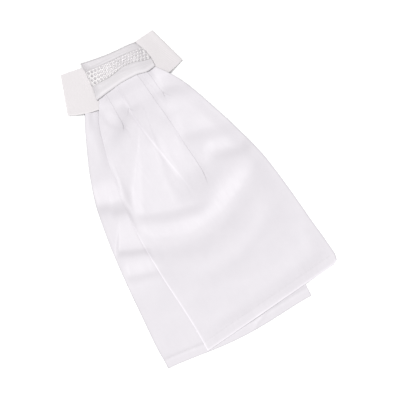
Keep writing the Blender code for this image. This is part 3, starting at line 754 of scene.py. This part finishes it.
def front_base(x, y, p, q):
    left = at(FRONT_ROWS, "q", "left", q)
    right = at(FRONT_ROWS, "q", "right", q)
    over = over_band(x, y, -0.5, 62.0)
    steep = 0.5 * ease((-p - 14.0) / 14.0)
    over = over + (over_band(x, y, -0.5, 40.0) - over) * steep
    t = np.clip((below_band(x, y) - 3.0) / 24.0, 0.0, 1.0)
    pocket = 0.55 * ease((p + 29.0) / 5.0) * ease((-10.5 - p) / 4.0)
    over = over + ((1 - t) ** 2 * (1 + 2 * t) - over) * pocket
    under = back_lift(x, y)
    bridge = np.maximum(0.0, back_lift(x, y, 2.4) - under)
    support = 0.36 + 0.07 * ease((-140.0 - y) / 3.0) + under + bridge * ease((p - left) / 5.0)
    off_tail = ease((p - beside_back(q) + 2.0) / 17.0) * (1 - over)
    support = support * (1 - off_tail)
    along = x - BAND_X
    middle = ease((along + 33) / 14.0) * ease((36 - along) / 16.0)
    near = 1 - ease((below_band(x, y) + 15.0) / 17.0)
    top = at(BAND_FRONT, "along", "z", np.minimum(along, 30.0)) + 0.80 + 1.9 * middle * near
    base = support + (top - support) * over
    ends = ease((FRONT_HEM - q) / 22.0) * ease((q - 3.0) / 26.0)
    inside = ease((p - left) / 16.0) * ease((right - p) / 22.0) * ends
    free = (0.35 + 0.65 * ease((p - left) / 14.0)) * (0.70 + 0.30 * ease((right - p) / 16.0))
    lift = 0.9 * inside + 1.3 * creases_height(FRONT_CREASES, x, y) * free * (0.25 + 0.75 * ends)
    lift = lift + (0.24 * soft_noise(x, y, 24, 11) + 0.06 * soft_noise(x, y, 9, 12)) * (0.3 + 0.7 * inside)
    # the cloth settles on whatever lies under it, but not into it
    return support + np.log1p(np.exp((base - support + lift) * 5.0)) / 5.0 - 0.06


FOLD_POINTS = 21


def fold_points(edge, depth, sign, fill):
    """Section of one knife fold, for every row: (points across, heights).
    fill is how far the lower layer comes up to meet the fold's edge.
    sign +1 when the upper layer comes from the left and ends at the edge,
    -1 when it starts there.  Depth 0 gives open, flat cloth."""
    h = PITCH
    n_rows = len(edge)
    state = ease(depth / 3.4)
    depth = np.maximum(depth, 1.2)
    across = np.zeros((n_rows, FOLD_POINTS))
    height = np.zeros((n_rows, FOLD_POINTS))
    # along the upper layer, round its edge, back under it, round, and on
    r = 0.62
    cols = []
    for t in (3.2, 1.9, 1.0):
        cols.append((-t - r * 0 * depth, 2 * h + 0.28 * np.exp(-(t / 1.6) ** 2) + 0 * depth))
    for a in (60, 25, -10, -45, -75):
        cols.append((-r + r * math.cos(math.radians(a)) + 0 * depth,
                     1.5 * h + 0.12 + (h / 2 + 0.14) * math.sin(math.radians(a)) + 0 * depth))
    for t in (0.25, 0.5, 0.75):
        cols.append((-0.6 - (depth - 1.1) * t, h + 0 * depth))
    for a in (55, 15, -15, -55):
        cols.append((-depth + 0.45 - 0.45 * math.cos(math.radians(a)),
                     0.5 * h + h / 2 * math.sin(math.radians(a)) + 0 * depth))
    for t in (0.2, 0.5, 0.8):
        cols.append((-(depth - 0.5) * (1 - t), 0 * depth))
    for t in (0.25, 1.2, 3.2):
        cols.append((t + 0 * depth, fill * h * np.exp(-(t / (0.9 + 0.8 * fill)) ** 2) + 0 * depth))
    assert len(cols) == FOLD_POINTS
    wide = 13.0
    for j, (a, z) in enumerate(cols):
        flat = (j / (FOLD_POINTS - 1) - 0.5) * wide
        across[:, j] = a * state + flat * (1 - state)
        height[:, j] = z * state
    if sign < 0:
        across, height = -across[:, ::-1], height[:, ::-1]
    return edge[:, None] + across, height


def make_front_tail():
    qs = np.concatenate([np.linspace(FRONT_TOP, FRONT_TOP + 0.8, 4),
                         np.linspace(FRONT_TOP + 2, 40, 40), np.linspace(41.4, 253.5, 152),
                         FRONT_HEM - np.array([HEM + 1.0, HEM + 0.5, HEM, HEM - 0.5, HEM - 1,
                                               8.4, 7, 5.6, 4.2, 2.8, 1.6, 0.9, 0.45, 0.18, 0])])
    row = {c: at(FRONT_ROWS, "q", c, qs) for c in FrontRow._fields if c != "q"}
    parts_p, parts_z = [], []

    def folded(name, sign, fill):
        return fold_points(row[name], row["depth_" + name], sign, fill)

    pd, zd = folded("d", 1, 1.0)
    pa, za = folded("a", -1, 1.9)
    pb, zb = folded("b", 1, 1.0)
    pc, zc = folded("c", 1, 1.3)

    def between(p0, z0, p1, z1, count, start_rows=None):
        t = np.linspace(0, 1, count + 2)[1:-1][None, :]
        return (p0[:, None] + (p1 - p0)[:, None] * t,
                z0[:, None] + (z1 - z0)[:, None] * ease(t))

    # left panel: only its last stretch is raised by the fold under it
    edge_in = np.array([0, 0.10, 0.30, 0.6, 1.1, 1.9, 2.9])
    start = row["left"]
    t = np.concatenate([np.linspace(0, 1, 25)[1:-1]])
    span0 = start + 4.2
    left_p = np.concatenate([start[:, None] + edge_in[None, :],
                             span0[:, None] + (pd[:, 0] - span0)[:, None] * t[None, :]], 1)
    from_d = (pd[:, 0:1] - left_p)
    left_z = zd[:, 0:1] * ease(1 - (from_d - row["depth_d"][:, None]) / 6.0)
    parts_p.append(left_p); parts_z.append(left_z)
    parts_p.append(pd); parts_z.append(zd)
    p, z = between(pd[:, -1], zd[:, -1], pa[:, 0], za[:, 0], 7)
    parts_p.append(p); parts_z.append(z)
    parts_p.append(pa); parts_z.append(za)
    p, z = between(pa[:, -1], za[:, -1], pb[:, 0], zb[:, 0], 14)
    parts_p.append(p); parts_z.append(z)
    parts_p.append(pb); parts_z.append(zb)
    p, z = between(pb[:, -1], zb[:, -1], pc[:, 0], zc[:, 0], 7)
    parts_p.append(p); parts_z.append(z)
    parts_p.append(pc); parts_z.append(zc)
    t = np.linspace(0, 1, 32)[1:-1]
    stop = row["right"] - 4.2
    right_p = np.concatenate([pc[:, -1][:, None] + (stop - pc[:, -1])[:, None] * t[None, :],
                              row["right"][:, None] - edge_in[None, ::-1]], 1)
    parts_p.append(right_p); parts_z.append(np.zeros_like(right_p))
    p = np.concatenate(parts_p, 1)
    z = np.concatenate(parts_z, 1)
    q = np.repeat(qs[:, None], p.shape[1], 1)

    # the hem's corner on the right is a little rounded
    left, right = row["left"][:, None], row["right"][:, None]
    q = q - 2.2 * ease((p - (right - 7.0)) / 7.0) ** 2 * ease((q - 240) / 20)
    hem_d = FRONT_HEM - qs[:, None] + 0 * p
    wall = np.full(p.shape, CLOTH)
    wall += 0.08 * ease((HEM - hem_d) / 0.9)
    side = np.minimum(p - left, right - p)
    wall += 0.10 * ease((2.0 - side) / 0.6)
    bevel = np.minimum(1.0, 0.25 + 0.75 * np.maximum(side, 0) / 1.5)
    shape = bevel * rounded(hem_d, 0.3) * rounded(q - FRONT_TOP, 0.4)
    wall = wall + 0.08 * np.exp(-np.maximum(hem_d, 0) / 1.3)
    bead = -0.5 * wall * (1 - bevel)
    x, y = front_xy(p, q)
    base = front_base(x, y, p, q)
    middle = base + 0.02 + wall / 2 + z + bead
    # normals of the section, in the plane across the tail
    dp, dz = np.gradient(p, axis=1), np.gradient(middle, axis=1)
    length = np.maximum(np.hypot(dp, dz), 1e-9)
    sp, sz = -dz / length, dp / length
    half = wall * shape / 2
    stitch = -0.14 * np.exp(-((hem_d - (HEM - 1.4)) / 0.7) ** 2)
    pucker = 0.07 * np.sin(p * 0.87 + 1.3 * np.sin(p * 0.13)) * np.exp(-((hem_d - HEM + 1) / 3.0) ** 2)
    x1, y1 = front_xy(p + sp * half, q)
    x2, y2 = front_xy(p - sp * half, q)
    top = np.stack([x1, y1, middle + sz * half + (stitch + pucker) * shape], -1)
    low = np.stack([x2, y2, middle - sz * half], -1)
    run = np.concatenate([np.zeros((len(qs), 1)),
                          np.cumsum(np.hypot(np.diff(p, axis=1), np.diff(z, axis=1)), 1)], 1)
    mid_run = run[:, run.shape[1] // 2][:, None]
    uv = np.stack([run - mid_run, q], -1)
    # painted light and shade: painted highlights along the left edge (lower down the tail), along the
    # hem's edge and beside fold a, and a painted shade line along the right edge
    from_a = np.abs(p - row["a"][:, None] - 0.2) / 0.9
    painted_light_shade = (0.9 * np.exp(-(np.maximum(p - left, 0) / 1.0) ** 2) * ease((qs[:, None] - 110) / 60)
               + 0.65 * np.exp(-(np.maximum(hem_d, 0) / 1.3) ** 2)
               + 0.4 * np.exp(-from_a ** 2) * ease((qs[:, None] - 8) / 10) * ease((146 - qs[:, None]) / 70)
               - 0.5 * np.exp(-(np.maximum(right - p, 0) / 0.8) ** 2))
    obj = shell("front_tail_cloth", top, low, satin, uv, np.clip(painted_light_shade, -1, 1))
    return obj, top, p, q


# ------------------------------------------------------------------ stitches
def stitch_line(name, points, normals, length=2.1, width=0.34, height=0.16):
    """One joined mesh of small thread stitches along a line of points."""
    verts, faces = [], []
    seg = np.linalg.norm(np.diff(points, axis=0), axis=1)
    run = np.concatenate([[0], np.cumsum(seg)])
    step = length * 1.32
    count = int((run[-1] - length) / step)
    rings, around = 6, 8
    for n in range(count):
        s0 = 0.6 + n * step
        base = len(verts)
        for k in range(rings + 1):
            t = k / rings
            s = s0 + length * t
            i = min(np.searchsorted(run, s) - 1, len(seg) - 1)
            i = max(i, 0)
            f = (s - run[i]) / seg[i]
            c = points[i] * (1 - f) + points[i + 1] * f
            d = (points[i + 1] - points[i]) / seg[i]
            nrm = normals[i] * (1 - f) + normals[i + 1] * f
            nrm = nrm / np.linalg.norm(nrm)
            across = np.cross(nrm, d)
            swell = math.sqrt(max(0.02, 1 - (2 * t - 1) ** 4))
            sink = -0.16 * (2 * t - 1) ** 4
            for m in range(around):
                a = 2 * math.pi * m / around
                verts.append(c + across * (width / 2 * swell * math.cos(a))
                             + nrm * (sink + 0.05 + height / 2 * swell * math.sin(a)))
        for k in range(rings):
            for m in range(around):
                a0 = base + k * around + m
                a1 = base + k * around + (m + 1) % around
                faces.append((a0, a1, a1 + around, a0 + around))
        faces.append(tuple(base + m for m in range(around))[::-1])
        faces.append(tuple(base + rings * around + m for m in range(around)))
    return add_mesh(name, np.array(verts), faces, thread)


# ------------------------------------------------------------------ knot
def knot_point(u, w):
    r = {c: at(KNOT_ROWS, "u", c, u) for c in KnotRow._fields if c != "u"}
    bulge = 4 * w * (1 - w) * (KNOT_BULGE_LEFT * (1 - u) + KNOT_BULGE_RIGHT * u)
    x = r["x_low"] + (r["x_top"] - r["x_low"]) * w + bulge
    y = r["y_low"] + (r["y_top"] - r["y_low"]) * w
    return x, y


def knot_end(u):
    t = np.clip(np.minimum(u / 0.14, (1 - u) / 0.28), 0.0, 1.0)
    return 1 - (1 - t) ** 1.9


def knot_face_z(u, w):
    low = KNOT_LEFT_Z + (KNOT_RIGHT_Z - KNOT_LEFT_Z) * u + 0.25 * ease(1 - (w - 0.06) / 0.16)
    base = low + (KNOT_FACE_Z - low) * knot_end(u)
    # beside the tails the two ends bend down to the neckband
    bent = 1.4 * ease(np.maximum(u - 0.96, 0.04 - u) / 0.04) * ease((w - 0.24) / 0.10)
    return base + at(KNOT_PLEATS, "w", "rise", w) * (0.3 + 0.7 * knot_end(u)) - bent


def knot_creases(x, y, u, w):
    inner = ease(w / 0.12) * ease((1 - w) / 0.06) * ease(np.minimum(u, 1 - u) / 0.03)
    puff = 0.10 * soft_noise(x, y, 6.5, 21) + 0.10 * soft_noise(x, y * 2.2, 11, 22)
    return (creases_height(KNOT_CREASES, x, y) + puff) * inner


def make_knot():
    us = np.concatenate([[0, 0.004, 0.010, 0.018], np.linspace(0.028, 0.972, 96),
                         [0.982, 0.990, 0.996, 1]])
    mids, runs = [], []
    for u in us:
        x0, y0 = knot_point(u, 0.0)
        x1, y1 = knot_point(u, 1.0)
        long = math.hypot(x1 - x0, y1 - y0)
        first = float(knot_face_z(u, 0.02))
        centre = KNOT_WALL / 2 + KNOT_ROLL_R
        under_z = first - 2 * KNOT_ROLL_R
        path = [(KNOT_UNDER, under_z), (centre + 2.5, under_z)]
        for n in range(6):
            a = math.radians(-90 - 36 * n)
            path.append((centre + KNOT_ROLL_R * math.cos(a),
                         under_z + KNOT_ROLL_R * (1 + math.sin(a))))
        for w in (.045, .08, .11, .15, .19, .24, .36, .48, .60, .72, .745, .77, .84, .90):
            path.append((w * long, float(knot_face_z(u, w))))
        wrap = float(at(KNOT_ROWS, "u", "wrap", u))
        edge = long - KNOT_WALL / 2
        top_z = float(knot_face_z(u, 0.90))
        stop_z = 8.0 - 6.6 * wrap
        for turn, drop in ((30, 0.12), (55, 0.35), (80, 0.65)):
            path.append((edge - 2.2 * (1 - math.sin(math.radians(turn))),
                         top_z + (stop_z - top_z) * drop * 0.6))
        path.append((edge, stop_z + 0.8))
        path.append((edge, stop_z))
        counts = np.array([3, 2] + [2] * 5 + [3, 2, 2, 2, 2, 2, 5, 5, 5, 5, 2, 2, 4, 4, 3, 3, 3, 3, 2])
        p = np.array(path)
        assert len(counts) == len(p) - 1, (len(counts), len(p))
        out = []
        for i in range(len(p) - 1):
            p0, p1 = p[max(0, i - 1)], p[i]
            p2, p3 = p[i + 1], p[min(len(p) - 1, i + 2)]
            for t in np.linspace(0, 1, counts[i], endpoint=False):
                m1 = (p2 - p0) * 0.5 * min(1.0, np.linalg.norm(p2 - p1) / max(1e-6, np.linalg.norm(p1 - p0)) ) if i else (p2 - p1)
                m2 = (p3 - p1) * 0.5 * min(1.0, np.linalg.norm(p2 - p1) / max(1e-6, np.linalg.norm(p3 - p2))) if i < len(p) - 2 else (p2 - p1)
                out.append((1 + 2 * t) * (1 - t) ** 2 * p1 + t * (1 - t) ** 2 * m1
                           + t * t * (3 - 2 * t) * p2 + t * t * (t - 1) * m2)
        out.append(p[-1])
        out = np.array(out)
        w = out[:, 0] / long
        x, y = knot_point(np.full(len(w), u), w)
        mids.append(np.stack([x, y, out[:, 1]], -1))
        runs.append(np.concatenate([[0], np.cumsum(np.linalg.norm(np.diff(out, axis=0), axis=1))]))
    mid = np.array(mids)
    run = np.array(runs)
    u = np.repeat(us[:, None], mid.shape[1], 1)
    w = np.array([[0.0]])
    first_front = 3 + 2 + 2 * 5 - 1
    lows = np.array([knot_point(uu, 0.0) for uu in us])
    tops = np.array([knot_point(uu, 1.0) for uu in us])
    long = np.hypot(*(tops - lows).T)
    w = (mid[..., 1] - lows[:, 1:2]) / (tops - lows)[:, 1:2]
    front = np.zeros(mid.shape[:2])
    front[:, first_front:-5] = 1.0
    mid[..., 2] += knot_creases(mid[..., 0], mid[..., 1], u, w) * front
    du, dv = np.gradient(mid, axis=1), np.gradient(mid, axis=0)
    # section normals only, so that the folded layers keep their spacing
    nrm = np.stack([-du[..., 2] * 0, -du[..., 2], du[..., 1]], -1)
    nrm[..., 0] = -dv[..., 2] / np.maximum(dv[..., 0], 0.2) * np.abs(du[..., 1]) * 0.6 * front
    nrm /= np.maximum(np.linalg.norm(nrm, axis=-1, keepdims=True), 1e-9)
    end_d = np.minimum(u, 1 - u) * 64.0
    thick = KNOT_WALL * rounded(end_d, 0.6) * rounded(np.minimum(run, run[:, -1:] - run), 0.5)
    half = thick[..., None] / 2
    uv = np.stack([run, u * 66.0], -1)
    # painted shade: a dark band just under the top edge; painted highlight: a lighter band along the lower
    # roll
    painted_light_shade = (-0.6 * ease((w - 0.945) / 0.03) + 0.35 * np.exp(-((w - 0.06) / 0.05) ** 2))
    return shell("knot_cloth", mid + nrm * half, mid - nrm * half, satin_knot, uv, painted_light_shade)


def trim_place(u, w, lift):
    """Point and outward direction on the knot's face, lift mm above it."""
    def point(uu, ww):
        x, y = knot_point(uu, ww)
        z = knot_face_z(uu, ww) + KNOT_WALL / 2
        return np.stack([x, y, z], -1)
    e = 0.004
    p = point(u, w)
    du = point(np.minimum(u + e, 1), w) - point(np.maximum(u - e, 0), w)
    dw = point(u, w + e) - point(u, w - e)
    n = np.cross(du, dw)
    n /= np.linalg.norm(n, axis=-1, keepdims=True)
    n = np.where(n[..., 2:3] < 0, -n, n)
    return p + n * np.asarray(lift)[..., None], n


def make_trim():
    us = np.linspace(0.006, 0.994, 110)
    vs = np.concatenate([[0, 0.02, 0.06], np.linspace(0.1, 0.9, 22), [0.94, 0.98, 1]])
    u, v = np.meshgrid(us, vs, indexing="ij")
    w0, w1 = at(TRIM_ROWS, "u", "w_low", u) - 0.014, at(TRIM_ROWS, "u", "w_high", u) + 0.008
    w = w0 + (w1 - w0) * v
    edge = rounded(np.minimum(v, 1 - v) * 14, 0.4) * rounded(np.minimum(u, 1 - u) * 64, 0.4)
    up, _ = trim_place(u, w, 0.10 + 0.40 * edge)
    down, _ = trim_place(u, w, 0.10 - 0.06 * edge)
    uv = np.stack([u * 65.0, v * 14.0], -1)
    net = cloth_material("net_backing", (0.72, 0.70, 0.70), (0.66, 0.64, 0.64), 0.55,
                         0.1, 0.4, 0.9, 0.12, 0.05, 0.5)
    backing = shell("trim_backing", up, down, net, uv)

    # stones in round cups, in staggered rows like the mesh it is sold as
    places = []
    rows = 4
    rng = np.random.default_rng(7)
    width = 65.5
    count = 18
    for r in range(rows):
        shift = 0.5 if r % 2 else 0.0
        for c in range(count + (0 if r % 2 else 1)):
            uu = (c + shift + 0.28) * STONE_PITCH / width
            if uu > 0.992:
                continue
            a, b = float(at(TRIM_ROWS, "u", "w_low", uu)), float(at(TRIM_ROWS, "u", "w_high", uu))
            ww = a + (b - a) * (0.115 + 0.77 * r / (rows - 1))
            places.append((uu, ww, rng.uniform(0, 2 * math.pi), rng.normal(0, 0.03, 2)))
    sv, sf, cv, cf = [], [], [], []
    sides = 8
    for uu, ww, turn, lean in places:
        p, n = trim_place(np.array(uu), np.array(ww), np.array(0.24))
        n = n + np.array([lean[0], lean[1], 0])
        n /= np.linalg.norm(n)
        ax = np.cross(n, [0, 1, 0]); ax /= np.linalg.norm(ax)
        ay = np.cross(n, ax)
        # cut stone: culet side hidden, girdle, two rows of facets, table
        rings = [(0.55, 0.00, 0.5), (1.28, 0.42, 0.0), (1.24, 0.55, 0.0),
                 (0.98, 0.92, 0.5), (0.62, 1.12, 0.0)]
        base = len(sv)
        for radius, height, half_turn in rings:
            for k in range(sides):
                a = turn + 2 * math.pi * (k + half_turn) / sides
                sv.append(p + ax * radius * math.cos(a) + ay * radius * math.sin(a) + n * height)
        for j in range(len(rings) - 1):
            for k in range(sides):
                a0, a1 = base + j * sides + k, base + j * sides + (k + 1) % sides
                b0, b1 = a0 + sides, a1 + sides
                if rings[j + 1][2] == rings[j][2]:
                    sf.append((a0, a1, b1, b0))
                elif rings[j + 1][2] > rings[j][2]:
                    sf.append((a0, a1, b0)); sf.append((a1, b1, b0))
                else:
                    sf.append((a0, b1, b0)); sf.append((a0, a1, b1))
        sf.append(tuple(base + k for k in range(sides))[::-1])
        sf.append(tuple(base + (len(rings) - 1) * sides + k for k in range(sides)))
        # cup: a short flared ring with four claws bent over the girdle
        base = len(cv)
        ring = [(1.30, -0.05), (1.56, 0.35), (1.56, 0.62), (1.36, 0.62), (1.30, 0.40), (1.05, 0.02)]
        around = 16
        for radius, height in ring:
            for k in range(around):
                a = turn + 2 * math.pi * k / around
                claw = max(0.0, math.cos(2 * a - 2 * turn) ** 2 * 2 - 1.2) / 0.8
                rr, hh = radius, height
                if height > 0.55:
                    rr -= 0.22 * claw
                    hh += 0.24 * claw
                cv.append(p + ax * rr * math.cos(a) + ay * rr * math.sin(a) + n * hh)
        m = len(ring)
        for j in range(m):
            for k in range(around):
                a0 = base + j * around + k
                a1 = base + j * around + (k + 1) % around
                b0 = base + ((j + 1) % m) * around + k
                b1 = base + ((j + 1) % m) * around + (k + 1) % around
                cf.append((a0, a1, b1, b0))
    # painted reflection mask: each stone's table ring is 1 and the ring below it 0.3; the stone material
    # paints these dark towards the strip's ends
    heart = np.tile(np.repeat([0.0, 0.0, 0.0, 0.3, 1.0], sides), len(places))
    stones = add_mesh("trim_stones", np.array(sv), sf, cut_glass, smooth=False, painted_light_shade=heart)
    cups = add_mesh("trim_cups", np.array(cv), cf, silver)
    cups.data.set_sharp_from_angle(angle=math.radians(50))
    return backing, stones, cups


def fix_normals(obj):
    import bmesh
    bm = bmesh.new()
    bm.from_mesh(obj.data)
    bmesh.ops.recalc_face_normals(bm, faces=bm.faces)
    bm.to_mesh(obj.data)
    bm.free()


# ------------------------------------------------------------------ camera
PHOTO_TURN = math.radians(27)
LOOK_AT = Vector((4.8, -17.2, 0)) * MM
cam_data = bpy.data.cameras.new("camera")
cam_data.type = "PERSP"
cam_data.lens, cam_data.sensor_width = 200.0, 36.0
distance = 0.400 * cam_data.lens / cam_data.sensor_width
camera = bpy.data.objects.new("camera", cam_data)
bpy.context.scene.collection.objects.link(camera)
camera.location = LOOK_AT + Vector((0, 0, distance))
camera.rotation_euler = (0, 0, -PHOTO_TURN)
cam_data.clip_start, cam_data.clip_end = 0.05, 30
bpy.context.scene.camera = camera

# ------------------------------------------------------------------ build
neckband = make_neckband()
back_tail, back_top = make_back_tail()
front_tail, front_top, front_p, front_q = make_front_tail()
knot = make_knot()
backing, stones, cups = make_trim()


def line_on(top, rows_value, wanted, keep):
    """A line along a grid's row, with the upward direction at each point."""
    i = int(np.argmin(np.abs(rows_value - wanted)))
    pts = top[i][keep]
    du = np.gradient(pts, axis=0)
    dv = (top[i + 1] - top[i - 1])[keep]
    n = np.cross(du, dv)
    n[n[:, 2] < 0] *= -1
    n /= np.linalg.norm(n, axis=1, keepdims=True)
    return pts, n


rows_front = FRONT_HEM - np.median(front_q, axis=1)
keep = np.ones(front_p.shape[1], bool)
keep[:4] = keep[-4:] = False
pts, nrm = line_on(front_top, rows_front, HEM - 1.0, keep)
front_stitches = stitch_line("front_hem_stitches", pts, nrm)
hem_rows = back_top[:, 40, 1] - back_hem_y(back_top[:, 40, 0])
keep = np.ones(back_top.shape[1], bool)
keep[:4] = keep[-4:] = False
pts, nrm = line_on(back_top, hem_rows, HEM - 1.0, keep)
back_stitches = stitch_line("back_hem_stitches", pts, nrm)
for obj in (neckband, front_tail, back_tail, knot, backing, stones, cups,
            front_stitches, back_stitches):
    fix_normals(obj)

# ------------------------------------------------------------------ table
for obj, node, slot in ((neckband, "neckband", "cotton"), (back_tail, "back_tail", "satin"),
                        (front_tail, "front_tail", "satin"), (knot, "knot", "satin"),
                        (backing, "crystal_trim", "crystal")):
    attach(obj, "root")
    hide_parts(node)
for obj, slot in ((stones, "crystal"), (cups, "crystal"),
                  (front_stitches, "satin"), (back_stitches, "satin")):
    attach(obj, "root")

# ------------------------------------------------------------------ studio
def floor_material():
    mat, nodes, links, bsdf = tree_of("white_floor")
    coords = nodes.new("ShaderNodeTexCoord")
    noise = nodes.new("ShaderNodeTexNoise")
    noise.inputs["Scale"].default_value = 40.0
    links.new(coords.outputs["Object"], noise.inputs["Vector"])
    ramp = nodes.new("ShaderNodeMapRange")
    ramp.inputs["To Min"].default_value = 0.75
    ramp.inputs["To Max"].default_value = 0.85
    links.new(noise.outputs["Fac"], ramp.inputs["Value"])
    links.new(ramp.outputs["Result"], bsdf.inputs["Roughness"])
    bsdf.inputs["Base Color"].default_value = (0.955, 0.955, 0.955, 1)
    bsdf.inputs["Specular IOR Level"].default_value = 0.2
    return mat


size = 4.0
floor = add_mesh("floor", np.array([(-size, -size, 0), (size, -size, 0), (size, size, 0),
                                    (-size, size, 0)]) / MM, [(0, 1, 2, 3)],
                 floor_material(), smooth=False)
floor.location.z = -0.0001


def area_light(name, direction, distance, size, power, spread=None):
    data = bpy.data.lights.new(name, "AREA")
    data.shape = "SQUARE"
    data.size = size
    data.energy = power
    obj = bpy.data.objects.new(name, data)
    bpy.context.scene.collection.objects.link(obj)
    d = Vector(direction).normalized()
    obj.location = LOOK_AT + d * distance
    obj.rotation_euler = d.to_track_quat("Z", "Y").to_euler()
    obj.visible_camera = False
    return obj


area_light("key", (-0.17, 0.42, 1.0), 7.0, 2.8, 400.0)
area_light("overhead", (0.02, -0.25, 1.0), 1.9, 1.1, 10.2)

world = bpy.data.worlds.new("studio")
bpy.context.scene.world = world
world.use_nodes = True
background = world.node_tree.nodes["Background"]
background.inputs["Color"].default_value = (1.0, 1.0, 1.0, 1)
background.inputs["Strength"].default_value = 0.40

bpy.context.scene.view_settings.view_transform = "Standard"
bpy.context.scene.view_settings.look = "None"
